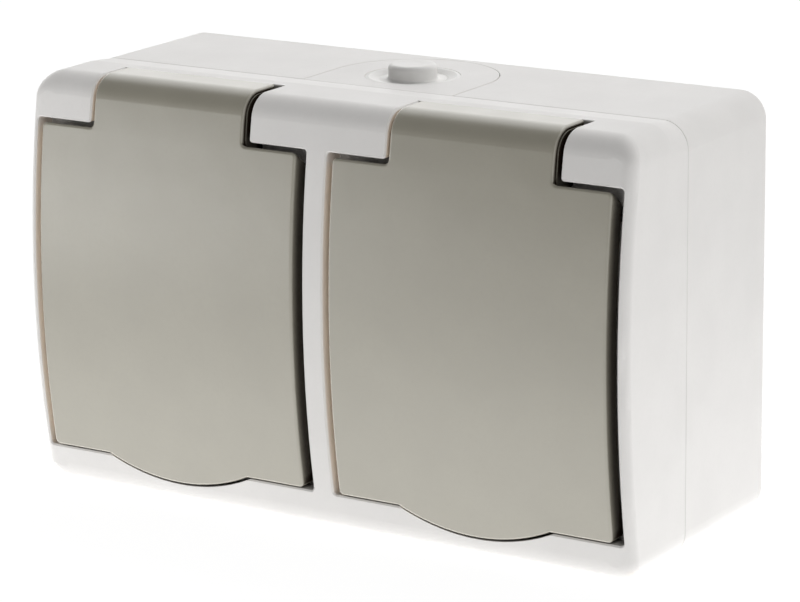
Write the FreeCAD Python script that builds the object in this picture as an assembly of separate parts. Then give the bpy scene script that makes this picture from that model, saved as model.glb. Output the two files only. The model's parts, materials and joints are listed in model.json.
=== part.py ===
import FreeCAD, Part
import math
import os

# Twin weatherproof wall socket: a box on the wall, a cover with two sprung lids, two sockets.
# Millimetres. The origin is the middle of the wall face, +X right, +Z up, the front towards -Y.

V = FreeCAD.Vector
ALONG_X = V(1, 0, 0)
ALONG_Y = V(0, 1, 0)
ALONG_Z = V(0, 0, 1)

# Housing
width = 142.0
height = 88.6
face_depth = 59.6
cover_depth = 25.3
wall = 2.4
floor_wall = 2.5
corner_round = 5.6
crest = 0.55
crest_ramp = 6.5
top_bend = 5.2
bottom_bend = 6.0
side_round = 2.6
bow_radius = 220.0
bow_height = 1.4
back_round = 1.2
parting_chamfer = 0.2
seal_width = 1.2
seal_thick = 1.2
seal_in_box = 0.8
mullion = 4.8
side_rim = 1.8

# Lids
shoulder_below_top = 9.7
sill_above_bottom = 9.2
tongue_above_bottom = 5.1
lid_corner = 1.1
lid_sideways = 0.3
lid_proud = 0.3
lid_skin = 2.0
lid_edge_round = 0.6
rim_depth = 4.2
rim_wall = 1.6
neck_width = 37.0
neck_corner = 1.0
neck_overrun = 5.85
cheek_wall = 1.7
cheek_step = 0.35
cheek_sunk = 0.9
cheek_back = 1.2
heel_back = 3.3
heel_drop = 4.0
hinge_below_bend = 1.25
lid_gap = 1.9
sill_gap = 0.4
tongue_gap = 0.45
ear_gap = 0.9
neck_gap = 1.2
swing_gap = 0.4
opening_corner = 0.8
opening_edge = 0.35
ear_corner = 0.7

# Recess behind each lid
plate_behind_face = 7.6
plate_wall = 2.0
recess_wall = 1.8
scoop_floor = 3.4
lip_radius = 26.0
lip_wall = 2.0
lip_height = 1.4
lid_seal_wall = 3.0
lid_seal_thick = 1.9
soft_gap = 0.3
seal_overlap = 0.5

# Hinge pins and springs
pin_radius = 1.25
pin_play = 0.05
pin_seat = 3.0
boss_radius = 3.2
wire_radius = 0.28
coil_radius = 1.85
coil_turns = 3.25
coil_pitch = 0.9

# Sockets
cup_radius = 19.6
cup_wall = 1.6
cup_depth = 17.5
cup_floor = 2.4
cup_stands_out = 1.4
cup_fit = 0.2
flange_radius = 24.6
flange_thick = 2.0
flange_seal = 0.8
key_width = 5.4
key_height = 2.2
pin_spacing = 19.0
pin_hole_radius = 2.75
clip_width = 6.0
clip_slot_gap = 1.0
clip_thick = 0.8
clip_reach = 16.6
clip_inset = 0.4
centre_screw_radius = 1.75
screw_head_radius = 3.3
screw_head_height = 1.2
screw_slot_depth = 0.9
screw_slot_width = 0.8
centre_screw_length = 14.0
earth_screw_length = 8.0

# Contact carriers
carrier_width = 46.0
carrier_height = 40.0
carrier_depth = 20.0
carrier_corner = 3.0
chamber_width = 9.4
chamber_above = 14.5
chamber_below = 6.0
chamber_depth = 16.5
leaf_thick = 0.7
leaf_width = 6.0
jaw_gap = 4.4
jaw_bow = 0.7
jaw_mouth = 0.9
jaw_from_top = 5.0
mouth_from_top = 1.5
terminal_side = 6.4
terminal_depth = 9.0
terminal_screw_radius = 1.5
terminal_screw_length = 5.4
terminal_head_radius = 2.8
carrier_screw_x = 18.5
carrier_screw_z = 15.5
pillar_radius = 3.4
link_radius = 1.3
link_spacing = 9.0
link_grip = 5.0
link_depth = 12.0
carrier_screw_sunk = 2.8
carrier_screw_grip = 6.0
earth_screw_gap = 0.2
earth_screw_z = 12.0

# Fasteners of the cover and the wall
cover_screw_from_side = 7.7
cover_screw_from_top = 14.8
column_radius = 3.6
cover_screw_length = 30.0
wall_screw_from_side = 21.0
wall_screw_from_top = 9.3
wall_hole_radius = 2.3
wall_seat_radius = 5.0
wall_seat_height = 1.0
knockout_radius = 9.0
knockout_groove = 1.2
knockout_skin = 1.0
knockout_x = 18.0

# Cable entry
entry_half = 17.8
entry_fit = 0.15
entry_flange = 1.4
entry_flange_thick = 1.2
grommet_radius = 9.9
dish_radius = 7.2
dish_drop = 0.9
stub_radius = 5.05
stub_height = 2.6
stub_skin = 0.9
stub_round = 0.6

# Places that follow from the sizes
half_w = width / 2
half_h = height / 2
box_depth = face_depth - cover_depth
top_z = half_h + crest
lid_width = half_w - mullion / 2 - side_rim - 2 * lid_gap
pitch = lid_width + 2 * lid_gap + mullion
lid_rise = half_h - shoulder_below_top
lid_drop = half_h - sill_above_bottom
tongue_radius = half_h - tongue_above_bottom
cover_screw_x = half_w - cover_screw_from_side
cover_screw_z = half_h - cover_screw_from_top
wall_screw_x = half_w - wall_screw_from_side
wall_screw_z = half_h - wall_screw_from_top
bow_centre_y = -face_depth + bow_radius
socket_xs = {"left": -pitch / 2, "right": pitch / 2}
opening_half = lid_width / 2 + lid_gap
ear_edge = lid_rise + ear_gap
sill_edge = -lid_drop - sill_gap
plate_front = -face_depth + plate_behind_face
plate_back = plate_front + plate_wall
cup_front = plate_front - cup_stands_out
cup_floor_front = cup_front + cup_depth
carrier_front = cup_floor_front + cup_floor
carrier_back = carrier_front + carrier_depth
link_y = carrier_front + link_depth
lid_seal_front = plate_front - lip_height - soft_gap
lid_seal_back = lid_seal_front - lid_seal_thick
entry_y = -floor_wall - entry_fit - entry_half
over = wall / 2
ahead = -face_depth - 4 * top_bend


def at(shape, x=0.0, y=0.0, z=0.0):
    """A moved copy of a shape."""
    copy = shape.copy()
    copy.translate(V(x, y, z))
    return copy


def block(x0, x1, y0, y1, z0, z1):
    """A box between two corners."""
    return Part.makeBox(x1 - x0, y1 - y0, z1 - z0, V(x0, y0, z0))


def rod_x(radius, x0, x1, y, z):
    """A cylinder along X."""
    return Part.makeCylinder(radius, x1 - x0, V(x0, y, z), ALONG_X)


def rod_y(radius, y0, y1, x=0.0, z=0.0):
    """A cylinder along Y."""
    return Part.makeCylinder(radius, y1 - y0, V(x, y0, z), ALONG_Y)


def rod_z(radius, z0, z1, x=0.0, y=0.0):
    """A cylinder along Z."""
    return Part.makeCylinder(radius, z1 - z0, V(x, y, z0), ALONG_Z)


def join(shapes):
    """One solid from several that meet."""
    shapes = list(shapes)
    return shapes[0].fuse(shapes[1:]).removeSplitter()


def middle(edge):
    """The middle point of an edge."""
    return edge.valueAt((edge.FirstParameter + edge.LastParameter) / 2)


def heading(edge):
    """The direction of an edge at its middle."""
    return edge.tangentAt((edge.FirstParameter + edge.LastParameter) / 2)


def round_edges(shape, radius_of):
    """Rounds each edge by the radius that radius_of gives for it, all in one operation."""
    document = FreeCAD.newDocument("rounding")
    base = document.addObject("Part::Feature", "base")
    base.Shape = shape
    rounded = document.addObject("Part::Fillet", "rounded")
    rounded.Base = base
    radii = [(number, radius_of(edge)) for number, edge in enumerate(shape.Edges, 1)]
    rounded.Edges = [(number, radius, radius) for number, radius in radii if radius]
    document.recompute()
    result = rounded.Shape.copy()
    FreeCAD.closeDocument(document.Name)
    return result


def rounded_plate(half_x, z0, z1, y0, y1, radius):
    """A rectangular prism along Y with rounded corners."""
    prism = block(-half_x, half_x, y0, y1, z0, z1)
    return prism.makeFillet(radius, [e for e in prism.Edges if abs(heading(e).y) > 0.9])


def bow_y(z, out=0.0):
    """Depth of the bowed face at height z, moved out by a distance."""
    return bow_centre_y - math.sqrt((bow_radius + out) ** 2 - (z - bow_height) ** 2)


def top_bend_centre():
    """Centre of the arc that leads the bowed face into the flat top."""
    z = top_z - top_bend
    reach = math.sqrt((bow_radius - top_bend) ** 2 - (z - bow_height) ** 2)
    return bow_centre_y - reach, z


bend_y, bend_z = top_bend_centre()
hinge_y = bend_y
hinge_z = bend_z - hinge_below_bend


def form(inset, y_back):
    """The cover's rounded form, set in all round, back to a plane. Its top steps up to a crest."""
    x, z, high_z = half_w - inset, half_h - inset, top_z - inset
    low, high = (bow_y(-z, -inset), -z), (bow_y(high_z, -inset), high_z)
    crown = (-face_depth + inset, bow_height)
    ramp = (-box_depth - crest_ramp, high_z)
    corner = [V(-x, *p) for p in ((y_back, -z), low, crown, high, ramp, (-box_depth, z), (y_back, z))]
    outline = [Part.LineSegment(corner[0], corner[1]), Part.Arc(corner[1], corner[2], corner[3])]
    for a, b in zip(corner[3:], corner[4:] + corner[:1]):
        if (b - a).Length > parting_chamfer / 2:
            outline.append(Part.LineSegment(a, b))
    face = Part.Face(Part.Wire([line.toShape() for line in outline]))

    def radius_of(edge):
        place, way = middle(edge), heading(edge)
        if abs(way.y) > 0.9:
            return corner_round - inset
        if place.y > -box_depth - crest_ramp - over and (abs(way.x) > 0.9 or place.y > y_back - 0.01):
            return None
        if abs(way.x) > 0.9:
            return (top_bend if place.z > 0 else bottom_bend) - inset
        return side_round - inset

    return round_edges(face.extrude(V(2 * x, 0, 0)), radius_of)


def skin_face(x, out, depth, low):
    """Section of a sheet that follows the cover's bowed face and its top bend, from height low up."""
    slope = math.atan2(bend_z - bow_height, bow_centre_y - bend_y)
    half_turn = (math.pi / 2 + slope) / 2

    def on_bend(turn, grow):
        radius = top_bend + grow
        return V(x, bend_y - radius * math.cos(turn), bend_z + radius * math.sin(turn))

    def on_bow(z, grow):
        return V(x, bow_y(z, grow), z)

    def side(grow):
        start, tangent = on_bow(low, grow), on_bend(slope, grow)
        top = on_bend(math.pi / 2, grow)
        end = top + V(0, neck_overrun, 0)
        halfway = on_bow((start.z + tangent.z) / 2, grow)
        return start, halfway, tangent, on_bend(half_turn, grow), top, end

    a, b = side(out), side(out - depth)
    edges = [
        Part.Arc(a[0], a[1], a[2]),
        Part.Arc(a[2], a[3], a[4]),
        Part.LineSegment(a[4], a[5]),
        Part.LineSegment(a[5], b[5]),
        Part.LineSegment(b[5], b[4]),
        Part.Arc(b[4], b[3], b[2]),
        Part.Arc(b[2], b[1], b[0]),
        Part.LineSegment(b[0], a[0]),
    ]
    return Part.Face(Part.Wire([edge.toShape() for edge in edges]))


def sheet(half_x, out, depth, low):
    """A sheet of even thickness along the cover's face and top bend."""
    return skin_face(-half_x, out, depth, low).extrude(V(2 * half_x, 0, 0))


def prism_y(points, y0, y1):
    """A prism along Y over a closed outline of (x, z) points."""
    corners = [V(x, y0, z) for x, z in points]
    outline = Part.makePolygon(corners + corners[:1])
    return Part.Face(outline).extrude(V(0, y1 - y0, 0))


def lid_outline(grow, sill, shoulder, neck, outer_round, inner_round):
    """Prism of a lid's front view: body, shoulders and neck. The same rule cuts its opening."""
    x, top = lid_width / 2 + grow, top_z + top_bend
    points = [(-x, sill), (x, sill), (x, shoulder), (neck, shoulder), (neck, top)]
    points += [(-px, pz) for px, pz in reversed(points[2:])]
    prism = prism_y(points, ahead, 0)

    def radius_of(edge):
        place = middle(edge)
        if abs(heading(edge).y) < 0.9 or place.z > top_z:
            return None
        return outer_round if abs(place.x) > neck + over / 2 else inner_round

    return round_edges(prism, radius_of)


def hinge_rod(radius, x0, x1):
    """A cylinder about the hinge axis."""
    return rod_x(radius, x0, x1, hinge_y, hinge_z)


def swing_radius():
    """How far the end of the neck reaches from the hinge axis."""
    return math.hypot(bend_y + neck_overrun - hinge_y, top_z + lid_proud - hinge_z)


def knuckle_radius():
    """How far the ears reach from the hinge axis: at their lower front edge or at their top bend."""
    return max(math.hypot(bow_y(ear_edge) - hinge_y, ear_edge - hinge_z), hinge_below_bend + top_bend)


trough_radius = swing_radius() + swing_gap
scoop_radius = knuckle_radius() + swing_gap
slot_half = neck_width / 2 + neck_gap


def cover_recess():
    """What is cut for one lid: its opening, the neck's slot, the trough it turns in, the scoop."""
    opening = lid_outline(lid_gap, sill_edge, ear_edge, slot_half, opening_corner, ear_corner)
    recess = opening.common(block(-half_w, half_w, ahead, plate_front, -half_h, ear_edge))
    slot = opening.common(block(-half_w, half_w, ahead, hinge_y, ear_edge - 0.01, 2 * half_h))
    trough = hinge_rod(trough_radius, -slot_half, slot_half)
    floor = bow_y(sill_edge) + scoop_floor
    scoop = rod_y(tongue_radius + tongue_gap, ahead, floor)
    scoop = scoop.common(block(-half_w, half_w, ahead, floor, -half_h, sill_edge + opening_corner))
    return recess, slot, trough, scoop, floor


def front_cover():
    """The moulded cover: a bowed shell with two recesses, hinge troughs and a sealing rim."""
    shell = form(0, -box_depth)
    hollow = form(wall, -box_depth + 1)
    recess, slot, trough, scoop, floor = cover_recess()
    thick = opening_half + recess_wall
    around = block(-thick, thick, ahead, plate_back, sill_edge - recess_wall, ear_edge + recess_wall)
    knuckle = hinge_rod(trough_radius + recess_wall, -slot_half - recess_wall, slot_half + recess_wall)
    seat = hinge_rod(boss_radius, -slot_half - pin_seat - 1, slot_half + pin_seat + 1)
    chin = rod_y(tongue_radius + tongue_gap + recess_wall, ahead, floor + recess_wall)
    chin = chin.cut(block(-width, width, plate_back, 0, sill_edge, half_h))
    for x in socket_xs.values():
        for kept in (around, knuckle, seat, chin):
            hollow = hollow.cut(at(kept, x))
    for x in (-cover_screw_x, cover_screw_x):
        for z in (-cover_screw_z, cover_screw_z):
            hollow = hollow.cut(rod_y(column_radius, ahead, 0, x, z))
    cover = shell.cut(hollow)
    cover = cover.cut([at(cut, x) for x in socket_xs.values() for cut in (recess, slot, trough, scoop)])
    lip = rod_y(lip_radius, plate_front - lip_height, plate_front)
    lip = lip.cut(rod_y(lip_radius - lip_wall, ahead, 0))
    cover = join([cover] + [at(lip, x) for x in socket_xs.values()])
    bore = rod_y(cup_radius + cup_wall + cup_fit, ahead, 0)
    pin = hinge_rod(pin_radius + pin_play, -slot_half - pin_seat, slot_half + pin_seat)
    cover = cover.cut([at(cut, x) for x in socket_xs.values() for cut in (bore, pin)])
    for x in (-cover_screw_x, cover_screw_x):
        for z in (-cover_screw_z, cover_screw_z):
            cover = cover.cut(rod_y(centre_screw_radius + pin_play, ahead, 0, x, z))
            cover = cover.cut(screw_head(x, plate_front, z))
    cover = cover.cut(seal_ring(-box_depth - seal_thick + seal_in_box, -box_depth))
    cover = cover.makeChamfer(opening_edge, opening_rim(cover))
    return soften_parting(cover, -box_depth)


def opening_rim(cover):
    """The outer edges of the two openings, where the skin turns in, without the tongues' scoops."""
    picked = []
    for edge in cover.Edges:
        place = middle(edge)
        x = min(abs(place.x - socket_x) for socket_x in socket_xs.values())
        inside = x < opening_half + 0.01 and place.z > sill_edge - 0.01
        near = skin_offset(place, 0) < side_rim / 10
        if inside and near and place.y < hinge_y + neck_overrun + lid_gap and is_sharp(cover, edge):
            picked.append(edge)
    return picked


def is_sharp(shape, edge):
    """Do the faces at an edge meet at a clear angle?"""
    place = middle(edge)
    normals = []
    for face in shape.ancestorsOfType(edge, Part.Face):
        normals.append(face.normalAt(*face.Surface.parameter(place)))
    return len(normals) == 2 and normals[0].getAngle(normals[1]) > math.radians(30)


def soften_parting(shape, y):
    """Breaks the outer edge where cover and box meet."""
    edges = []
    for edge in shape.Edges:
        place = middle(edge)
        outside = max(abs(place.x) - half_w, abs(place.z) - half_h) > -corner_round * 0.3
        flat = edge.BoundBox.YLength < 0.01 and abs(place.y - y) < 0.01
        if flat and outside and edge.Length > corner_round and on_outline(place):
            edges.append(edge)
    return shape.makeChamfer(parting_chamfer, edges)


def on_outline(place):
    """Is a point on the outer outline of the housing's section?"""
    x = max(abs(place.x) - (half_w - corner_round), 0)
    z = max(abs(place.z) - (half_h - corner_round), 0)
    return abs(math.hypot(x, z) - corner_round) < 0.05 or min(x, z) == 0 and max(x, z) > corner_round - 0.05


def seal_ring(y0, y1):
    """The loop of the housing seal between two depths, in the middle of the wall."""
    inset = (wall - seal_width) / 2
    loops = []
    for d in (inset, inset + seal_width):
        loops.append(rounded_plate(half_w - d, -half_h + d, half_h - d, y0, y1, corner_round - d))
    return loops[0].cut(loops[1])


def screw_head(x, y, z):
    """The room of a flat screw head whose top lies at depth y."""
    return rod_y(screw_head_radius, y, y + screw_head_height, x, z)


def screw(x, y, z, length, shank, head):
    """A slotted screw along Y with its head at depth y."""
    slot = screw_slot_width / 2
    body = rod_y(head, y, y + screw_head_height, x, z)
    body = body.fuse(rod_y(shank, y, y + length, x, z)).removeSplitter()
    return body.cut(block(x - head, x + head, y - 1, y + screw_slot_depth, z - slot, z + slot))


def front_loop(shape):
    """The outer edges of a lid's face, from which the lid takes its soft rim."""
    picked = []
    for edge in shape.Edges:
        place = middle(edge)
        over_the_top = abs(heading(edge).x) > 0.99 and place.z > ear_edge + lid_edge_round
        if skin_offset(place, lid_proud) < 0.02 and not over_the_top:
            picked.append(edge)
    return picked


def skin_offset(place, out):
    """How far a point lies from the skin, moved out by a distance: its bow, top bend or flat top."""
    bow = abs(math.hypot(place.y - bow_centre_y, place.z - bow_height) - bow_radius - out)
    bend = abs(math.hypot(place.y - bend_y, place.z - bend_z) - top_bend - out)
    if place.z < bend_z:
        return bow
    if place.y > bend_y:
        return abs(place.z - top_z - out)
    return min(bow, bend)


def lid_cheek(x):
    """A side wall of the neck from x on, with the bearing for the hinge pin."""
    radius = top_bend + lid_proud - cheek_sunk
    low = lid_rise - 2 * rim_wall

    def on_arc(turn):
        return V(x, bend_y - radius * math.cos(turn), bend_z + radius * math.sin(turn))

    first, last = on_arc(0), on_arc(math.pi / 2)
    end = V(x, bend_y + neck_overrun - cheek_back, last.z)
    heel = V(x, hinge_y + heel_back, hinge_z - heel_drop)
    back = V(x, bow_y(low, lid_proud - rim_depth), low)
    front = V(x, bow_y(low, lid_proud - lid_skin / 2), low)
    outline = [
        Part.Arc(first, on_arc(math.pi / 4), last),
        Part.LineSegment(last, end),
        Part.LineSegment(end, heel),
        Part.LineSegment(heel, back),
        Part.LineSegment(back, front),
        Part.LineSegment(front, first),
    ]
    face = Part.Face(Part.Wire([edge.toShape() for edge in outline]))
    cheek = face.extrude(V(cheek_wall + cheek_step, 0, 0))
    return cheek.cut(hinge_rod(pin_radius + pin_play, x - 1, x + cheek_wall + cheek_step + 1))


def lid():
    """One lid: bowed skin with a neck over the top, rim, hinge cheeks, seal seat and finger tongue."""
    half, neck = lid_width / 2, neck_width / 2
    low = -tongue_radius - 1
    outline = lid_outline(0, -lid_drop, lid_rise, neck, lid_corner, neck_corner)
    tongue = rod_y(tongue_radius, ahead, 0)
    tongue = tongue.common(block(-half, half, ahead, 0, -half_h, -lid_drop + lid_corner))
    skin = sheet(half + 1, lid_proud, lid_skin, low).common(join([outline, tongue]))
    skin = skin.makeFillet(lid_edge_round, front_loop(skin))
    plan = rounded_plate(half, -lid_drop, lid_rise, ahead, 0, lid_corner)
    inner = rounded_plate(half - rim_wall, -lid_drop + rim_wall, lid_rise - rim_wall, ahead, 0, rim_wall / 2)
    behind = sheet(half + 1, lid_proud - lid_skin, rim_depth - lid_skin, low)
    rim = behind.common(plan.cut(inner))
    knuckle = hinge_rod(scoop_radius + rim_wall, -half, half)
    band = behind.common(plan).common(knuckle)
    band = band.cut(block(-neck, neck, ahead, 0, -half_h, half_h))
    seat = rod_y(lip_radius + seal_overlap, ahead, lid_seal_back)
    seat = seat.cut(rod_y(lip_radius + seal_overlap - lid_seal_wall, ahead, 0))
    seat = seat.common(sheet(half, lid_proud - lid_skin / 2, rim_depth, low))
    body = join([skin, rim, band, seat])
    for side in (-1, 1):
        x0, x1 = sorted((side * neck, side * (half + 1)))
        body = body.cut(hinge_rod(scoop_radius, x0, x1))
    cheeks = [lid_cheek(neck - cheek_wall), lid_cheek(-neck - cheek_step)]
    return join([body] + cheeks)


def lid_seal():
    """The soft ring in the lid that closes on the lip round the socket."""
    ring = rod_y(lip_radius + seal_overlap, lid_seal_back, lid_seal_front)
    return ring.cut(rod_y(lip_radius + seal_overlap - lid_seal_wall, ahead, 0))


def hinge_pin():
    """The steel pin through both cheeks, seated in the ears at its ends."""
    end = slot_half + pin_seat - pin_play
    pin = hinge_rod(pin_radius, -end, end)
    return pin.makeChamfer(pin_radius / 4, [edge for edge in pin.Edges if edge.Closed])


def lid_spring():
    """The torsion spring round the pin: one leg on the lid's rim, one in the trough behind."""
    rise = coil_pitch / (2 * math.pi * coil_radius)
    lid_leg = hinge_z - lid_rise - soft_gap
    back_leg = trough_radius - 2 * swing_gap - wire_radius
    coil = Part.makeHelix(coil_pitch, coil_pitch * coil_turns, coil_radius)
    start = coil.Vertexes[0].Point
    end = coil.Vertexes[-1].Point
    first = V(start.x, start.y - lid_leg, start.z - lid_leg * rise)
    last = end + V(-back_leg, 0, back_leg * rise)
    path = Part.Wire([Part.makeLine(first, start)] + coil.Edges + [Part.makeLine(end, last)])
    ring = Part.Wire(Part.makeCircle(wire_radius, first, V(0, 1, rise)))
    spring = path.makePipeShell([ring], True, False)
    turn = FreeCAD.Rotation(V(0, -1, 0), V(0, 0, 1), V(-1, 0, 0), "XYZ")
    half_length = coil_pitch * coil_turns / 2
    spring.Placement = FreeCAD.Placement(V(half_length, hinge_y, hinge_z), turn)
    return spring


def flange(y0, y1):
    """A disc of the cup's flange between two depths, with a flat where the hinge trough stands in its way."""
    trough = hinge_rod(trough_radius + recess_wall + soft_gap, -half_w, half_w)
    return rod_y(flange_radius, y0, y1).cut(trough)


def socket_face():
    """The plug cup: round recess with keys, pin holes, clip slots, a flange and the centre screw's seat."""
    flange_front = plate_back + flange_seal
    cup = rod_y(cup_radius + cup_wall, cup_front, carrier_front)
    cup = join([cup, flange(flange_front, flange_front + flange_thick)])
    cup = cup.cut(rod_y(cup_radius, cup_front - 1, cup_floor_front))
    rim = [e for e in cup.Edges if abs(middle(e).y - cup_front) < 0.01 and e.Closed]
    cup = cup.makeFillet(cup_wall / 3, rim)
    keys = []
    for side in (-1, 1):
        x0, x1 = sorted((side * (cup_radius - key_height), side * (cup_radius + cup_wall / 2)))
        key = block(x0, x1, cup_front + cup_wall, cup_floor_front, -key_width / 2, key_width / 2)
        inner = [e for e in key.Edges if abs(heading(e).y) > 0.9 and abs(middle(e).x) < cup_radius]
        keys.append(key.makeFillet(key_height / 2, inner))
    cup = join([cup] + keys)
    slot_x = clip_width / 2 + clip_slot_gap
    for side in (-1, 1):
        cup = cup.cut(rod_y(pin_hole_radius, ahead, 0, side * pin_spacing / 2))
        z0, z1 = sorted((side * (cup_radius - 1), side * (cup_radius + cup_wall + 0.5)))
        cup = cup.cut(block(-slot_x, slot_x, cup_front + 2 * cup_wall, carrier_front, z0, z1))
    cup = cup.cut(rod_y(centre_screw_radius + pin_play, ahead, 0))
    cup = cup.cut(rod_y(clip_width / 2, carrier_front - screw_head_height - pin_play, 0, 0, -earth_screw_z))
    return cup.cut(screw_head(0, cup_floor_front, 0))


def flange_ring():
    """The flat seal between the cup's flange and the cover."""
    ring = flange(plate_back, plate_back + flange_seal)
    return ring.cut(rod_y(cup_radius + cup_wall + cup_fit, ahead, 0))


def earth_bracket():
    """The earth strip behind the cup, with a sprung clip at the top and at the bottom."""
    half, arm = clip_width / 2, cup_radius + cup_wall / 4
    strip = block(-half, half, carrier_front, carrier_front + clip_thick, -arm - clip_thick, arm + clip_thick)
    bend_at = cup_floor_front - clip_thick
    tip = cup_front + 3 * cup_wall

    def clip(side):
        def line(out):
            return [
                V(-half, bend_at, side * (arm + out)),
                V(-half, (bend_at + tip) / 2, side * (clip_reach + out)),
                V(-half, tip, side * (arm - clip_thick + out)),
            ]

        a, b = line(0), line(clip_thick)
        bow = [
            Part.Arc(*a),
            Part.LineSegment(a[2], b[2]),
            Part.Arc(*reversed(b)),
            Part.LineSegment(b[0], a[0]),
        ]
        face = Part.Face(Part.Wire([edge.toShape() for edge in bow]))
        z0, z1 = sorted((side * arm, side * (arm + clip_thick)))
        return [face.extrude(V(clip_width, 0, 0)), block(-half, half, bend_at, carrier_front, z0, z1)]

    bracket = join([strip] + clip(-1) + clip(1))
    bracket = bracket.cut(rod_y(centre_screw_radius + cup_fit, ahead, 0))
    return bracket.cut(rod_y(terminal_screw_radius, ahead, 0, 0, -earth_screw_z))


def contact_carrier():
    """The insulating block that holds the contacts, screwed to two pillars of the box."""
    half_x, half_z = carrier_width / 2, carrier_height / 2
    carrier = rounded_plate(half_x, -half_z, half_z, carrier_front, carrier_back, carrier_corner)
    floor = carrier_front + chamber_depth
    for side in (-1, 1):
        x = side * pin_spacing / 2
        chamber = block(
            x - chamber_width / 2, x + chamber_width / 2, ahead, floor, -chamber_below, chamber_above
        )
        carrier = carrier.cut(chamber)
        place = (side * carrier_screw_x, side * carrier_screw_z)
        carrier = carrier.cut(rod_y(terminal_screw_radius + cup_fit, ahead, 0, *place))
        carrier = carrier.cut(rod_y(screw_head_radius, ahead, carrier_front + carrier_screw_sunk, *place))
    groove = clip_width / 2 + cup_fit
    carrier = carrier.cut(block(-groove, groove, ahead, carrier_front + clip_thick, -half_z - 1, half_z + 1))
    carrier = carrier.cut(rod_y(centre_screw_radius, ahead, floor))
    carrier = carrier.cut(rod_y(terminal_screw_radius, ahead, floor, 0, -earth_screw_z))
    for side in (-1, 1):
        for z in (-link_spacing, 0, link_spacing):
            x0, x1 = sorted((side * (half_x - link_grip), side * (half_x + 1)))
            carrier = carrier.cut(rod_x(link_radius, x0, x1, link_y, z))
    return carrier


def contact(side):
    """One pole: a foot, two sprung leaves that grip the pin, and a terminal block with its screw hole."""
    x, floor = side * pin_spacing / 2, carrier_front + chamber_depth
    mouth, grip = carrier_front + mouth_from_top, carrier_front + jaw_from_top
    half, jaw = leaf_width / 2, jaw_gap / 2
    inner = [(jaw, floor), (jaw + jaw_bow, (floor + grip) / 2), (jaw, grip), (jaw + jaw_mouth, mouth)]
    pieces = []
    for flip in (-1, 1):
        line = inner + [(px + leaf_thick, py) for px, py in reversed(inner)]
        corners = [V(x + flip * px, py, -half) for px, py in line]
        leaf = Part.Face(Part.makePolygon(corners + corners[:1])).extrude(V(0, 0, leaf_width))
        pieces.append(leaf)
    reach = jaw + leaf_thick
    pieces.append(block(x - reach, x + reach, floor - leaf_thick, floor, -half, chamber_above - 1))
    side_half = terminal_side / 2
    x0, x1 = x - side_half, x + side_half
    top = chamber_above - 1
    terminal_z = top - side_half
    wire_y = floor - terminal_depth / 3
    pieces.append(block(x0, x1, floor - terminal_depth, floor, terminal_z - side_half, top))
    pole = join(pieces)
    pole = pole.cut(rod_x(link_radius + cup_fit, x0 - 1, x1 + 1, wire_y, terminal_z))
    return pole.cut(rod_y(terminal_screw_radius, ahead, wire_y, x, terminal_z))


def terminal_screws():
    """The clamping screws of the terminals and of the earth strips, one solid each."""
    floor = carrier_front + chamber_depth
    z = chamber_above - 1 - terminal_side / 2
    pole_head = floor - terminal_depth - screw_head_height
    earth_head = carrier_front - screw_head_height
    places = []
    for x in socket_xs.values():
        for side in (-1, 1):
            places.append((x + side * pin_spacing / 2, pole_head, z, terminal_screw_length))
        places.append((x, earth_head, -earth_screw_z, earth_screw_length))
    return [screw(*place, terminal_screw_radius, terminal_head_radius) for place in places]


def back_box():
    """The box on the wall: shell, columns, pillars, wall seats, knock-outs and the cable entry's cut-out."""
    outer = rounded_plate(half_w, -half_h, half_h, -box_depth, 0, corner_round)
    back = [e for e in outer.Edges if abs(middle(e).y) < 0.01]
    outer = outer.makeFillet(back_round, back)
    x, z = half_w - wall, half_h - wall
    box = outer.cut(rounded_plate(x, -z, z, ahead, -floor_wall, corner_round - wall))
    added, holes = [], []
    for sx in (-1, 1):
        for sz in (-1, 1):
            cx, cz = sx * cover_screw_x, sz * cover_screw_z
            added.append(rod_y(column_radius, -box_depth, -floor_wall / 2, cx, cz))
            x0, x1 = sorted((cx, sx * (half_w - wall / 2)))
            z0, z1 = cz - recess_wall / 2, cz + recess_wall / 2
            added.append(block(x0, x1, -box_depth, -floor_wall / 2, z0, z1))
            holes.append(rod_y(centre_screw_radius, ahead, -floor_wall - 4, cx, cz))
            wx, wz = sx * wall_screw_x, sz * wall_screw_z
            added.append(rod_y(wall_seat_radius, -floor_wall - wall_seat_height, -floor_wall / 2, wx, wz))
            holes.append(rod_y(wall_hole_radius, ahead, 1, wx, wz))
        for side in (-1, 1):
            px = socket_xs["left" if sx < 0 else "right"] + side * carrier_screw_x
            added.append(rod_y(pillar_radius, carrier_back, -floor_wall / 2, px, side * carrier_screw_z))
            holes.append(rod_y(terminal_screw_radius, ahead, -floor_wall - 2, px, side * carrier_screw_z))
    box = join([box] + added)
    box = box.cut(holes)
    for sx in (-1, 1):
        ring = rod_y(knockout_radius, -floor_wall, -knockout_skin, sx * knockout_x, 0)
        ring = ring.cut(rod_y(knockout_radius - knockout_groove, ahead, 0, sx * knockout_x, 0))
        box = box.cut(ring)
    gap = entry_outline(entry_half + entry_fit, entry_y, -box_depth - 1, half_h - wall - 1, half_h + 1)
    box = box.cut(gap)
    box = box.cut(seal_ring(-box_depth, -box_depth + seal_in_box))
    return soften_parting(box, -box_depth)


def entry_outline(half, arc_y, front, z0, z1):
    """Upright prism of the cable entry's arched outline: straight from the parting, round at the back."""
    prism = join([block(-half, half, front, arc_y, z0, z1), rod_z(half, z0, z1, 0, arc_y)])
    return prism.common(block(-half, half, front, 0, z0, z1))


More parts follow.
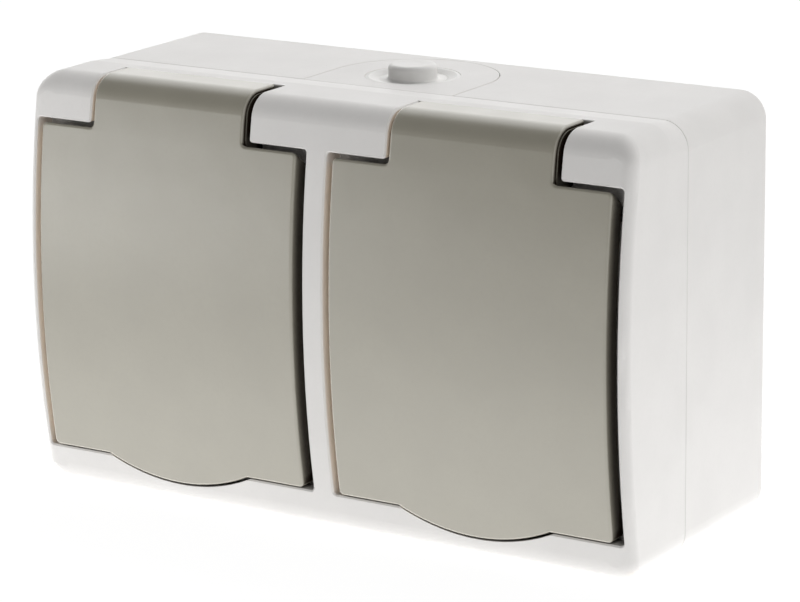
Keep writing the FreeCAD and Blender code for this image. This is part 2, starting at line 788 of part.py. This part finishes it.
def entry_plate():
    """The plate that slides into the box's top wall and carries the cable grommet."""
    under = half_h - wall
    plate = entry_outline(entry_half, entry_y, -box_depth, under, half_h)
    wide = entry_half + entry_flange
    flange = entry_outline(wide, entry_y, -box_depth, under - entry_flange_thick, under)
    flange = flange.common(block(-wide, wide, -box_depth, -floor_wall - entry_fit, under - wall, half_h))
    plate = join([plate, flange])
    plate = plate.cut(rod_z(grommet_radius, 0, half_h + 1, 0, entry_y))
    return plate.cut(seal_ring(-box_depth, -box_depth + seal_in_box))


def entry_grommet():
    """The soft blind grommet: dished ring with a closed stub, hollow below, held by its lower flange."""
    seat = wall + entry_flange_thick
    outline = [
        (0, stub_height),
        (stub_radius - stub_round, stub_height),
        (stub_radius, stub_height - stub_round),
        (stub_radius, -dish_drop),
        (dish_radius, -dish_drop),
        (grommet_radius - stub_round, 0),
        (grommet_radius - entry_fit / 2, 0),
        (grommet_radius - entry_fit / 2, -seat),
        (grommet_radius + entry_flange, -seat),
        (grommet_radius + entry_flange, -seat - stub_skin),
        (dish_radius, -seat - stub_skin),
        (dish_radius, -dish_drop - stub_skin),
        (stub_radius - stub_skin, -dish_drop - stub_skin),
        (stub_radius - stub_skin, stub_height - stub_skin),
        (0, stub_height - stub_skin),
    ]
    corners = [V(r, entry_y, half_h + z) for r, z in outline]
    edges = [Part.makeLine(a, b) for a, b in zip(corners, corners[1:] + corners[:1])]
    turn = math.pi / 4
    crown = corners[2] + V(stub_round * (math.cos(turn) - 1), 0, stub_round * math.sin(turn))
    edges[1] = Part.Arc(corners[1], crown, corners[2]).toShape()
    return Part.Face(Part.Wire(edges)).revolve(V(0, entry_y, 0), ALONG_Z, 360)


def link_wire(z):
    """A stiff insulated wire between the two carriers."""
    end = pitch / 2 - carrier_width / 2 + link_grip
    return rod_x(link_radius, -end, end, link_y, z)


def centre_screw():
    """The screw that holds the cup to its carrier."""
    head = screw_head_radius - cup_fit
    return screw(0, cup_floor_front, 0, centre_screw_length, centre_screw_radius, head)


def cover_screws():
    """The four screws that hold the cover to the box, under the lids."""
    places = [(x, z) for x in (-cover_screw_x, cover_screw_x) for z in (-cover_screw_z, cover_screw_z)]
    head = screw_head_radius - cup_fit
    return [screw(x, plate_front, z, cover_screw_length, centre_screw_radius, head) for x, z in places]


def carrier_screws():
    """The four screws that hold the carriers to the box's pillars."""
    head = carrier_front + carrier_screw_sunk - screw_head_height
    length = carrier_depth - carrier_screw_sunk + screw_head_height + carrier_screw_grip
    radii = (terminal_screw_radius, screw_head_radius - 2 * cup_fit)
    screws = []
    for x in socket_xs.values():
        for side in (-1, 1):
            place = (x + side * carrier_screw_x, head, side * carrier_screw_z)
            screws.append(screw(*place, length, *radii))
    return screws


def write(name, shapes):
    """Writes one node from one solid or a list of them."""
    shape = Part.makeCompound(shapes) if isinstance(shapes, list) else shapes
    shape.exportStep(f"parts/{name}.step")
    print(name, len(shape.Solids), round(shape.Volume, 1), shape.isValid())


def main():
    os.makedirs("parts", exist_ok=True)
    write("back_box", back_box())
    write("entry_plate", entry_plate())
    write("entry_grommet", entry_grommet())
    write("housing_seal", seal_ring(-box_depth - seal_thick + seal_in_box, -box_depth + seal_in_box))
    write("front_cover", front_cover())
    paired = {
        "lid": lid(),
        "lid_seal": lid_seal(),
        "hinge_pin": hinge_pin(),
        "lid_spring": lid_spring(),
        "socket_face": socket_face(),
        "flange_seal": flange_ring(),
        "contact_carrier": contact_carrier(),
        "line_contact": contact(-1),
        "neutral_contact": contact(1),
        "earth_bracket": earth_bracket(),
        "centre_screw": centre_screw(),
    }
    for name, shape in paired.items():
        slide = lid_sideways if name in ("lid", "lid_seal") else 0
        for hand, x in socket_xs.items():
            write(f"{name}_{hand}", at(shape, x - slide))
    write("cover_screws", cover_screws())
    write("carrier_screws", carrier_screws())
    write("terminal_screws", terminal_screws())
    for name, z in (("line_link", link_spacing), ("neutral_link", 0), ("earth_link", -link_spacing)):
        write(name, link_wire(z))


main()
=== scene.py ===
import json
import math

import bmesh
import bpy
from mathutils import Matrix, Vector

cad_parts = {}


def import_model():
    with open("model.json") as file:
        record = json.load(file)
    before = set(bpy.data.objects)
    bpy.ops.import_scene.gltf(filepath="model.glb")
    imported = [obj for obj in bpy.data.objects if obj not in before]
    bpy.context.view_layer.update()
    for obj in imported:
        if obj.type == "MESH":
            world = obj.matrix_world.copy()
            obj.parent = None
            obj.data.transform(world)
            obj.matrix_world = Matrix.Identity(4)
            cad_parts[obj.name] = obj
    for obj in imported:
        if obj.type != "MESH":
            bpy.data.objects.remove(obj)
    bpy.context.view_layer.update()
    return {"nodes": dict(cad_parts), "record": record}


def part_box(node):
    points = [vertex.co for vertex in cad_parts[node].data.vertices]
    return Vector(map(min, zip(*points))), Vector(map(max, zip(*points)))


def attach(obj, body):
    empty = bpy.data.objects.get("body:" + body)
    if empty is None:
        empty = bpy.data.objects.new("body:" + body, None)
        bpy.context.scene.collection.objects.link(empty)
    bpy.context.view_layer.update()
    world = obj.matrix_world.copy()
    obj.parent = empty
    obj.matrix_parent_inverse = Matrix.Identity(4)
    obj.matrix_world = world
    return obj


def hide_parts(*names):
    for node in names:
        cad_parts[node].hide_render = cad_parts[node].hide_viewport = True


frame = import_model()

# A twin weatherproof wall socket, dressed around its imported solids. Metres, front towards -Y, +Z up.

MM = 0.001
nodes = frame["nodes"]
record = frame["record"]
HANDS = ("left", "right")
FLOOR_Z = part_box("back_box")[0].z


# Materials

# Where a colour mix has its factor, its first and second colour and the colour that comes out
MIX_FACTOR = 0
MIX_FIRST = 6
MIX_SECOND = 7
MIX_OUT = 2

# What a plastic shows: the size of its flow clouds, specks, worn patches, waves and grain
CLOUD_SIZE = 14 * MM
SPECK_SIZE = 0.9 * MM
SPECK_SHARE = 0.25
WORN_SIZE = 6 * MM
WAVE_SIZE = 9 * MM
WAVE_DEPTH = 0.05 * MM
GRAIN_SIZE = 0.35 * MM
GRAIN_DEPTH = 0.012 * MM

# What a metal shows: drawn lines and duller patches
LINE_SIZE = 0.25 * MM
LINE_DEPTH = 0.01 * MM
PATCH_SIZE = 3 * MM
PATCH_TONE = 0.82

# What a rubber shows: a powdery bloom, dull patches and a fine grain
BLOOM_SIZE = 2.5 * MM
DULL_SIZE = 1.2 * MM
SKIN_SIZE = 0.2 * MM
SKIN_DEPTH = 0.015 * MM

# A side by the way that it faces, and how far a surface is turned to it where it starts and fully counts
# These sides mask the painted gap shading: undersides are spared the painted shade, the others take painted
# light.
UNDERSIDE = ((0, 0, -1), 0.3, 0.7)
LEFT_SIDE = ((-1, 0, 0), 0.3, 0.7)
RIGHT_SIDE = ((1, 0, 0), 0.3, 0.7)
LOW_LEFT_EDGE = ((-0.5, -0.6, -0.5), 0.69, 0.76)

# Painted shade and painted light in narrow gaps. Within reach of other walls the colour is painted dark as
# shade, fully so at the open share "closed" and not at all at "clear". The sides that stray light from the
# left reaches are painted the light colour "lit" instead, fully so at "clear" and not at all at "unlit".
HOUSING_GAP_SHADING = {
    "reach": 9.0 * MM,
    "dark": (0.040, 0.027, 0.020),
    "closed": 0.02,
    "clear": 0.15,
    "lit": (0.92, 0.81, 0.71),
    "lit_sides": [RIGHT_SIDE],
    "unlit": 0.45,
}
LID_GAP_SHADING = {
    "reach": 3.0 * MM,
    "dark": (0.018, 0.011, 0.007),
    "closed": 0.48,
    "clear": 0.86,
    "lit": (0.92, 0.85, 0.74),
    "lit_sides": [LEFT_SIDE, LOW_LEFT_EDGE],
    "unlit": 0.95,
}


class Graph:
    """A short way to write a material's node tree."""

    def __init__(self, name):
        self.material = bpy.data.materials.new(name)
        self.material.use_nodes = True
        self.tree = self.material.node_tree
        self.shader = self.tree.nodes["Principled BSDF"]
        self.place = self.add("ShaderNodeTexCoord").outputs["Object"]

    def add(self, kind, **settings):
        """A new node with its settings."""
        node = self.tree.nodes.new(kind)
        for key, value in settings.items():
            setattr(node, key, value)
        return node

    def link(self, source, target):
        """Leads a source to a socket, or to the shader's input of that name."""
        if isinstance(target, str):
            target = self.shader.inputs[target]
        self.tree.links.new(source, target)

    def noise(self, size, detail=2.0, stretch=(1, 1, 1)):
        """Noise whose lumps are about size metres across."""
        mapping = self.add("ShaderNodeMapping")
        mapping.inputs["Scale"].default_value = stretch
        self.link(self.place, mapping.inputs["Vector"])
        node = self.add("ShaderNodeTexNoise")
        node.inputs["Scale"].default_value = 1 / size
        node.inputs["Detail"].default_value = detail
        node.inputs["Roughness"].default_value = 0.5
        self.link(mapping.outputs["Vector"], node.inputs["Vector"])
        return node.outputs["Fac"]

    def range(self, value, low, high, start=0.3, end=0.7):
        """A value that runs from start to end, led to run from low to high."""
        node = self.add("ShaderNodeMapRange")
        node.inputs["From Min"].default_value = start
        node.inputs["From Max"].default_value = end
        node.inputs["To Min"].default_value = low
        node.inputs["To Max"].default_value = high
        self.link(value, node.inputs["Value"])
        return node.outputs["Result"]

    def blend(self, factor, a, b):
        """Mixes two colours, each a tuple or a socket."""
        node = self.add("ShaderNodeMix", data_type="RGBA")
        self.link(factor, node.inputs[MIX_FACTOR])
        for colour, target in ((a, node.inputs[MIX_FIRST]), (b, node.inputs[MIX_SECOND])):
            if isinstance(colour, tuple):
                target.default_value = (*colour, 1)
            else:
                self.link(colour, target)
        return node.outputs[MIX_OUT]

    def open_share(self, reach):
        """1 on an open face, less where walls stand within reach, as in a narrow gap."""
        sky = self.add("ShaderNodeAmbientOcclusion", samples=8)
        sky.inputs["Distance"].default_value = reach
        return sky.outputs["AO"]

    def joined(self, operation, a, b):
        """Two values joined by a named operation."""
        node = self.add("ShaderNodeMath", operation=operation)
        self.link(a, node.inputs[0])
        self.link(b, node.inputs[1])
        return node.outputs[0]

    def along(self, source, way):
        """How far a vector reaches in a direction."""
        node = self.add("ShaderNodeVectorMath", operation="DOT_PRODUCT")
        self.link(source, node.inputs[0])
        node.inputs[1].default_value = way
        return node.outputs["Value"]

    def facing(self, way, start, end):
        """1 where the surface is turned towards a direction, 0 where it isn't."""
        normal = self.add("ShaderNodeTexCoord").outputs["Normal"]
        return self.range(self.along(normal, way), 0.0, 1.0, start, end)

    def bump(self, height, distance, below=None):
        """The surface's direction over a height, on top of another such bump."""
        node = self.add("ShaderNodeBump")
        node.inputs["Strength"].default_value = 1.0
        node.inputs["Distance"].default_value = distance
        self.link(height, node.inputs["Height"])
        if below is not None:
            self.link(below, node.inputs["Normal"])
        return node.outputs["Normal"]


def shade(colour, amount):
    """A colour made darker or lighter."""
    return tuple(c * amount for c in colour)


def paint_gap_shade_and_light(g, tone, gloss, gap):
    """Painted shade in narrow gaps, spared on undersides and taking the gloss too, and painted light on the
    lit sides.
    """
    share = g.open_share(gap["reach"])
    closed, clear, unlit = gap["closed"], gap["clear"], gap["unlit"]
    # Painted shade: the dark gap colour where walls stand close, except on undersides.
    unshaded_share = g.joined("MAXIMUM", g.range(share, 0.0, 1.0, closed, clear), g.facing(*UNDERSIDE))
    tone = g.blend(unshaded_share, gap["dark"], tone)
    # Painted light: the lit sides near gaps take the light colour.
    painted_light_share = g.facing(*gap["lit_sides"][0])
    for side in gap["lit_sides"][1:]:
        painted_light_share = g.joined("MAXIMUM", painted_light_share, g.facing(*side))
    painted_light_share = g.joined("MULTIPLY", painted_light_share, g.range(share, 1.0, 0.0, clear, unlit))
    # Painted shade on the gloss as well: the specular level falls to none in the gaps.
    g.link(g.range(share, 0.0, gloss, closed, clear), "Specular IOR Level")
    return g.blend(painted_light_share, tone, gap["lit"])


def plastic(name, colour, roughness, mottle=0.03, gloss=0.5, gap=None):
    """Injection-moulded plastic: fine eroded grain, a little flow mottling, sheen that varies, and painted
    shade and light in gaps.
    """
    g = Graph(name)
    clouds = g.range(g.noise(CLOUD_SIZE, 3.0), 0.0, 1.0)
    tone = g.blend(clouds, shade(colour, 1 - mottle), shade(colour, 1 + mottle / 2))
    specks = g.range(g.noise(SPECK_SIZE), 0.0, SPECK_SHARE, 0.45, 0.8)
    tone = g.blend(specks, tone, shade(colour, 1 - 2 * mottle))
    g.shader.inputs["Specular IOR Level"].default_value = gloss
    # Painted shade and painted light in narrow gaps, for the finishes given a gap.
    if gap:
        tone = paint_gap_shade_and_light(g, tone, gloss, gap)
    g.link(tone, "Base Color")
    g.link(g.range(g.noise(WORN_SIZE, 4.0), roughness - 0.03, roughness + 0.04, 0.1, 0.9), "Roughness")
    waves = g.bump(g.noise(WAVE_SIZE, 1.0), WAVE_DEPTH)
    g.link(g.bump(g.noise(GRAIN_SIZE), GRAIN_DEPTH, waves), "Normal")
    return g.material


def metal(name, colour, roughness, stretch=(1, 1, 1)):
    """Drawn or stamped metal: fine lines along its length and darker, duller patches."""
    g = Graph(name)
    lines = g.noise(LINE_SIZE, stretch=stretch)
    patches = g.range(g.noise(PATCH_SIZE, 3.0), 0.0, 1.0)
    g.link(g.blend(patches, shade(colour, PATCH_TONE), colour), "Base Color")
    g.link(g.range(lines, roughness - 0.08, roughness + 0.12), "Roughness")
    g.shader.inputs["Metallic"].default_value = 1.0
    g.link(g.bump(lines, LINE_DEPTH), "Normal")
    return g.material


def rubber(name, colour, roughness, gloss=0.3, chalk=0.15):
    """Soft moulded rubber: dull, with a powdery bloom."""
    g = Graph(name)
    bloom = g.range(g.noise(BLOOM_SIZE, 4.0), 0.0, 1.0)
    g.link(g.blend(bloom, colour, shade(colour, 1 + chalk)), "Base Color")
    g.link(g.range(g.noise(DULL_SIZE, 3.0), roughness - 0.06, roughness + 0.08), "Roughness")
    g.shader.inputs["Specular IOR Level"].default_value = gloss
    g.link(g.bump(g.noise(SKIN_SIZE), SKIN_DEPTH), "Normal")
    return g.material


# Each finish by its kind, colour, roughness and what else sets it apart
FINISHES = {
    # The housing and lid plastics carry painted shade and painted light in their gaps.
    "housing_plastic": (plastic, (0.80, 0.784, 0.766), 0.50, {"gloss": 0.3, "gap": HOUSING_GAP_SHADING}),
    "lid_plastic": (plastic, (0.335, 0.316, 0.260), 0.33, {"mottle": 0.04, "gloss": 0.7, "gap": LID_GAP_SHADING}),
    "insert_plastic": (plastic, (0.70, 0.69, 0.66), 0.34, {}),
    "carrier_plastic": (plastic, (0.52, 0.50, 0.44), 0.45, {}),
    "soft_grommet": (rubber, (0.80, 0.79, 0.77), 0.50, {"gloss": 0.4, "chalk": 0.03}),
    "seal_rubber": (rubber, (0.035, 0.035, 0.036), 0.62, {}),
    "pin_steel": (metal, (0.58, 0.58, 0.57), 0.30, {"stretch": (0.08, 1, 1)}),
    "screw_steel": (metal, (0.32, 0.32, 0.31), 0.42, {}),
    "contact_brass": (metal, (0.78, 0.60, 0.30), 0.30, {"stretch": (1, 0.15, 1)}),
    "line_wire": (plastic, (0.16, 0.075, 0.035), 0.4, {"mottle": 0.08}),
    "neutral_wire": (plastic, (0.03, 0.10, 0.38), 0.4, {"mottle": 0.08}),
    "earth_wire": (plastic, (0.20, 0.38, 0.05), 0.4, {"mottle": 0.08}),
}

finishes = {}
for name, (kind, colour, roughness, traits) in FINISHES.items():
    finishes[name] = kind(name, colour, roughness, **traits)

slot_of = {s["node"]: s["material_slot"] for s in record["subparts"]}
for name, node in nodes.items():
    for slot in node.material_slots:
        slot.material = finishes[slot_of[name]]


# Soft pieces, shaped here in full

TURNED_STEPS = 128
MERGE_DISTANCE = 0.001 * MM
SHARP_ANGLE = 40

# The grommet's stub with its soft edge and the hollow in its end, as radius and depth
STUB_RADIUS = 5.05 * MM
STUB_EDGE = 0.95 * MM
STUB_HOLLOW = ((0.0, 0.12 * MM), (2.2 * MM, 0.1 * MM), (3.4 * MM, 0.0))
STUB_FOOT = 0.5 * MM

# Its dish round the stub, and the ring and flange round the dish, inwards from the flange's edge
DISH_INSET = 4.1 * MM
DISH_DROP = 0.6 * MM
DISH_RISE = 0.6 * MM
RING_INSET = 1.4 * MM
RING_ROUND = 0.35 * MM
RING_LIP = 0.13 * MM
FLANGE_ROUND = 0.3 * MM
GROMMET_SKIN = 0.9 * MM

# The lid seal's band and its lip
LID_SEAL_WIDTH = 3.0 * MM
LID_SEAL_LIP = 0.55 * MM
LID_SEAL_STEP = 0.5 * MM
LID_SEAL_ROUND = 0.3 * MM

# The flange seal's bore, and its ribs with their shares of the way outwards
FLANGE_SEAL_INNER = 21.4 * MM
FLANGE_SEAL_RIB = 0.25 * MM
FLANGE_SEAL_RIBS = (0.3, 0.7)

# The round of the housing seal's corners, and the points round a corner and round its section
HOUSING_SEAL_CORNER = 5.0 * MM
CORNER_STEPS = 12
SECTION_STEPS = 12


def arc(centre, radius, start, end, steps):
    """Points on an arc, by its angles in degrees."""
    turns = [math.radians(start + (end - start) * i / steps) for i in range(steps + 1)]
    return [(centre[0] + radius * math.cos(t), centre[1] + radius * math.sin(t)) for t in turns]


def piece(name, points, faces, finish, body, node):
    """A finished object from points and faces, which moves with a body in place of a solid."""
    mesh = bpy.data.meshes.new(name)
    mesh.from_pydata(points, [], faces)
    mesh.validate()
    form = bmesh.new()
    form.from_mesh(mesh)
    bmesh.ops.remove_doubles(form, verts=form.verts, dist=MERGE_DISTANCE)
    bmesh.ops.recalc_face_normals(form, faces=form.faces)
    form.to_mesh(mesh)
    form.free()
    mesh.shade_smooth()
    mesh.set_sharp_from_angle(angle=math.radians(SHARP_ANGLE))
    made = bpy.data.objects.new(name, mesh)
    bpy.context.scene.collection.objects.link(made)
    made.data.materials.append(finishes[finish])
    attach(made, body)
    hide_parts(node)


def swept(rings):
    """Faces between closed rings of points, the last ring joined to the first."""
    count = len(rings)
    size = len(rings[0])
    points = [point for ring in rings for point in ring]
    faces = []
    for i in range(count):
        j = (i + 1) % count
        for k in range(size):
            m = (k + 1) % size
            faces.append((i * size + k, i * size + m, j * size + m, j * size + k))
    return points, faces


def turned(section, place, along_y):
    """A closed section of (radius, distance along the axis), turned about Y or Z."""
    rings = []
    for i in range(TURNED_STEPS):
        turn = 2 * math.pi * i / TURNED_STEPS
        c, s = math.cos(turn), math.sin(turn)
        if along_y:
            rings.append([place + Vector((r * c, h, r * s)) for r, h in section])
        else:
            rings.append([place + Vector((r * c, r * s, h)) for r, h in section])
    return swept(rings)


def grommet():
    """The blind cable grommet: a ring in the entry plate, a dish with fine rings and a soft-edged stub."""
    low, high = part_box("entry_grommet")
    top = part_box("entry_plate")[1].z
    place = Vector(((low.x + high.x) / 2, (low.y + high.y) / 2, top))
    crown = high.z - top
    base = low.z - top
    seat = base + GROMMET_SKIN
    floor = -DISH_DROP
    flange = (high.x - low.x) / 2
    ring = flange - RING_INSET
    dish = flange - DISH_INSET
    bore = STUB_RADIUS - GROMMET_SKIN
    section = [(radius, crown - depth) for radius, depth in STUB_HOLLOW]
    section += arc((STUB_RADIUS - STUB_EDGE, crown - STUB_EDGE), STUB_EDGE, 90, 0, 6)
    section += arc((STUB_RADIUS + STUB_FOOT, floor + STUB_FOOT), STUB_FOOT, 180, 270, 4)
    section += arc((dish - 0.3 * MM, floor + DISH_RISE), DISH_RISE, 270, 320, 4)
    section += arc((ring - 0.75 * MM, -RING_ROUND), RING_ROUND, 130, 60, 4)
    section += arc((ring - 0.15 * MM, -0.15 * MM), RING_LIP, 90, 0, 4)
    section += [(ring - 0.02 * MM, seat), (flange, seat)]
    section += arc((flange - FLANGE_ROUND, base + FLANGE_ROUND), FLANGE_ROUND, 0, -90, 4)
    section += [(dish, base), (dish, floor - GROMMET_SKIN), (bore, floor - GROMMET_SKIN)]
    section += [(bore, crown - GROMMET_SKIN), (0.0, crown - GROMMET_SKIN)]
    points, faces = turned(section, place, False)
    piece("grommet", points, faces, "soft_grommet", "housing", "entry_grommet")


def seat_of(node):
    """A round seal's outer radius and depth, and where its axis starts."""
    low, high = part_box(node)
    place = Vector(((low.x + high.x) / 2, low.y, (low.z + high.z) / 2))
    return (high.x - low.x) / 2, high.y - low.y, place


def lid_seal(hand):
    """A flat band held in the lid, with a rounded lip that meets the socket's rim."""
    outer, depth, place = seat_of(f"lid_seal_{hand}")
    inner = outer - LID_SEAL_WIDTH
    shoulder = depth - LID_SEAL_STEP
    lip = LID_SEAL_LIP
    section = [(inner, 0.0), (outer, 0.0), (outer, shoulder)]
    section += arc((outer - LID_SEAL_ROUND, shoulder), LID_SEAL_ROUND, 0, 90, 3)
    section += [(inner + 2 * lip + 0.5 * MM, depth - 0.45 * MM)]
    section += arc((inner + lip + 0.1 * MM, depth - lip), lip, 0, 180, 8)
    points, faces = turned(section, place, True)
    piece(f"lid_gasket_{hand}", points, faces, "seal_rubber", f"lid_{hand}", f"lid_seal_{hand}")


def flange_seal(hand):
    """A thin gasket with two moulded ribs on its front face."""
    outer, depth, place = seat_of(f"flange_seal_{hand}")
    inner = FLANGE_SEAL_INNER
    rib = FLANGE_SEAL_RIB
    section = [(inner, rib)]
    for share in FLANGE_SEAL_RIBS:
        section += arc((inner + (outer - inner) * share, rib), rib, 180, 0, 5)
    section += [(outer, rib), (outer, depth), (inner, depth)]
    points, faces = turned(section, place, True)
    piece(f"flange_gasket_{hand}", points, faces, "seal_rubber", "housing", f"flange_seal_{hand}")


def housing_seal():
    """The cord between box and cover: a rounded section led round the parting plane."""
    low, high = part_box("housing_seal")
    radius = (high.y - low.y) / 2
    centre_y = (low.y + high.y) / 2
    corner = HOUSING_SEAL_CORNER
    last = 360 * (SECTION_STEPS - 1) / SECTION_STEPS
    ring = arc((0, 0), radius, 0, last, SECTION_STEPS - 1)
    rings = []
    for side_x, side_z, start in ((1, 1, 0), (-1, 1, 90), (-1, -1, 180), (1, -1, 270)):
        x = (high.x if side_x > 0 else low.x) - side_x * corner
        z = (high.z if side_z > 0 else low.z) - side_z * corner
        for step in range(CORNER_STEPS + 1):
            turn = math.radians(start + 90 * step / CORNER_STEPS)
            out = Vector((math.cos(turn), 0, math.sin(turn)))
            middle = Vector((x, centre_y, z)) + out * (corner - radius)
            rings.append([middle + out * a + Vector((0, b, 0)) for a, b in ring])
    points, faces = swept(rings)
    piece("housing_gasket", points, faces, "seal_rubber", "housing", "housing_seal")


grommet()
housing_seal()
for hand in HANDS:
    lid_seal(hand)
    flange_seal(hand)


# Stage

CAMERA_AZIMUTH = 32.22
CAMERA_ELEVATION = 14.75
CAMERA_ROLL = -0.71
CAMERA_DISTANCE = 757.3 * MM
CAMERA_TARGET = Vector((0.03, -26.5, -2.16)) * MM
CAMERA_CLIP = (0.05, 20)
LENS = 164.5

# Each lamp's azimuth and elevation in degrees, distance, width, height and power
LAMPS = {
    "left_lamp": (-50, -7, 0.3, 0.22, 0.22, 0.48),
    "right_lamp": (60, 19, 1.2, 0.8, 0.8, 2.9),
    "back_lamp": (178, 62, 1.0, 0.7, 0.4, 2.4),
}

FLOOR_SIZE = 8.0
FLOOR_DROP = 0.05 * MM
FLOOR_ROUGHNESS = 0.9
PAPER_SIZE = 0.05
PAPER_DARK = (0.80, 0.80, 0.795)
PAPER_LIGHT = (0.82, 0.82, 0.815)

# The floor's glow near the object and far off, first on dull sides and then in glossy ones, each with the
# distances between which it changes
POOL_NEAR = 1.3
POOL_FAR = 0.72
POOL_REACH = (0.10, 0.40)
SHEEN_NEAR = 4.4
SHEEN_FAR = 2.3
SHEEN_REACH = (0.12, 0.26)

# Behind the object on its left the glossy glow is less
SHEEN_BEHIND = 0.9
BEHIND_LEFT = (-0.7, 0.7, 0)
BEHIND_REACH = (0.02, 0.10)

# The floor's strength to the camera, and the share of its glow beside its own lit colour, seen and elsewhere
FLOOR_SEEN = 1.11
GLOW_SEEN = 0.85
GLOW_ELSEWHERE = 0.75

# The tent's strength in front and behind, then in glossy sides, each with where along Y it changes
TENT_FRONT = 0.08
TENT_BACK = 0.75
TENT_TURN = (-0.35, 0.25)
TENT_SHEEN = 2.2
TENT_SHEEN_TURN = (0.0, 0.4)


def look(azimuth, elevation):
    """Direction from the object to a place at this azimuth and elevation, and the right and up there."""
    a = math.radians(azimuth)
    e = math.radians(elevation)
    back = Vector((math.sin(a) * math.cos(e), -math.cos(a) * math.cos(e), math.sin(e)))
    right = Vector((math.cos(a), math.sin(a), 0))
    return back, right, back.cross(right)


def aimed(name, data, right, up, back, distance):
    """Something placed at a distance from the object, turned towards it."""
    made = bpy.data.objects.new(name, data)
    bpy.context.scene.collection.objects.link(made)
    turn = Matrix((right, up, back)).transposed().to_4x4()
    made.matrix_world = Matrix.Translation(CAMERA_TARGET + back * distance) @ turn
    return made


def camera():
    """The camera at the photograph's viewing angle."""
    back, right, up = look(CAMERA_AZIMUTH, CAMERA_ELEVATION)
    roll = math.radians(CAMERA_ROLL)
    turned_right = right * math.cos(roll) + up * math.sin(roll)
    turned_up = up * math.cos(roll) - right * math.sin(roll)
    data = bpy.data.cameras.new("camera")
    data.lens = LENS
    data.clip_start, data.clip_end = CAMERA_CLIP
    bpy.context.scene.camera = aimed("camera", data, turned_right, turned_up, back, CAMERA_DISTANCE)


def soft_light(name, azimuth, elevation, distance, width, height, power):
    """A rectangular lamp that faces the object."""
    back, right, up = look(azimuth, elevation)
    data = bpy.data.lights.new(name, "AREA")
    data.shape = "RECTANGLE"
    data.size = width
    data.size_y = height
    data.energy = power
    aimed(name, data, right, up, back, distance)


def mix_values(tree, factor, a, b):
    """A value between a and b, where a is a socket and b a socket or a number."""
    mix = tree.nodes.new("ShaderNodeMix")
    tree.links.new(factor, mix.inputs["Factor"])
    tree.links.new(a, mix.inputs["A"])
    if isinstance(b, float):
        mix.inputs["B"].default_value = b
    else:
        tree.links.new(b, mix.inputs["B"])
    return mix.outputs["Result"]


def ramp(tree, value, start, end, low, high):
    """A smooth step of a value, from low at start to high at end."""
    step = tree.nodes.new("ShaderNodeMapRange")
    step.interpolation_type = "SMOOTHSTEP"
    step.inputs["From Min"].default_value = start
    step.inputs["From Max"].default_value = end
    step.inputs["To Min"].default_value = low
    step.inputs["To Max"].default_value = high
    tree.links.new(value, step.inputs["Value"])
    return step.outputs["Result"]


def paper():
    """The floor's white sheet: it looks white to the camera, keeps a faint shadow and lights the object."""
    g = Graph("floor")
    g.shader.inputs["Roughness"].default_value = FLOOR_ROUGHNESS
    fibres = g.range(g.noise(PAPER_SIZE, 3.0), 0.0, 1.0)
    g.link(g.blend(fibres, PAPER_DARK, PAPER_LIGHT), "Base Color")
    rays = g.add("ShaderNodeLightPath")
    seen = rays.outputs["Is Camera Ray"]
    away = g.add("ShaderNodeVectorMath", operation="LENGTH")
    g.link(g.place, away.inputs[0])
    pool = g.range(away.outputs["Value"], POOL_NEAR, POOL_FAR, *POOL_REACH)
    sheen = g.range(away.outputs["Value"], SHEEN_NEAR, SHEEN_FAR, *SHEEN_REACH)
    behind = g.range(g.along(g.place, BEHIND_LEFT), 0.0, 1.0, *BEHIND_REACH)
    sheen = mix_values(g.tree, behind, sheen, SHEEN_BEHIND)
    mirrored = mix_values(g.tree, rays.outputs["Is Glossy Ray"], pool, sheen)
    glow = g.add("ShaderNodeEmission")
    g.link(mix_values(g.tree, seen, mirrored, FLOOR_SEEN), glow.inputs["Strength"])
    mixed = g.add("ShaderNodeMixShader")
    g.link(g.range(seen, GLOW_ELSEWHERE, GLOW_SEEN, 0.0, 1.0), mixed.inputs["Fac"])
    g.link(g.shader.outputs[0], mixed.inputs[1])
    g.link(glow.outputs[0], mixed.inputs[2])
    g.link(mixed.outputs[0], g.tree.nodes["Material Output"].inputs["Surface"])
    return g.material


def backdrop():
    """The pale sheet that the object stands on."""
    half = FLOOR_SIZE / 2
    z = FLOOR_Z - FLOOR_DROP
    mesh = bpy.data.meshes.new("floor")
    corners = [(-half, -half, z), (half, -half, z), (half, half, z), (-half, half, z)]
    mesh.from_pydata(corners, [], [(0, 1, 2, 3)])
    mesh.materials.append(paper())
    sheet = bpy.data.objects.new("floor", mesh)
    bpy.context.scene.collection.objects.link(sheet)


def world():
    """A light tent: white behind the object and where the camera sees it, dim in front of it."""
    surround = bpy.data.worlds.new("surround")
    surround.use_nodes = True
    bpy.context.scene.world = surround
    tree = surround.node_tree
    background = tree.nodes["Background"]
    background.inputs["Color"].default_value = (1, 1, 1, 1)
    way = tree.nodes.new("ShaderNodeSeparateXYZ")
    tree.links.new(tree.nodes.new("ShaderNodeTexCoord").outputs["Generated"], way.inputs["Vector"])
    rays = tree.nodes.new("ShaderNodeLightPath")
    tent = ramp(tree, way.outputs["Y"], *TENT_TURN, TENT_FRONT, TENT_BACK)
    sheen = ramp(tree, way.outputs["Y"], *TENT_SHEEN_TURN, TENT_FRONT, TENT_SHEEN)
    level = mix_values(tree, rays.outputs["Is Glossy Ray"], tent, sheen)
    level = mix_values(tree, rays.outputs["Is Camera Ray"], level, 1.0)
    tree.links.new(level, background.inputs["Strength"])


camera()
backdrop()
world()
for name, values in LAMPS.items():
    soft_light(name, *values)

bpy.context.scene.view_settings.view_transform = "Standard"
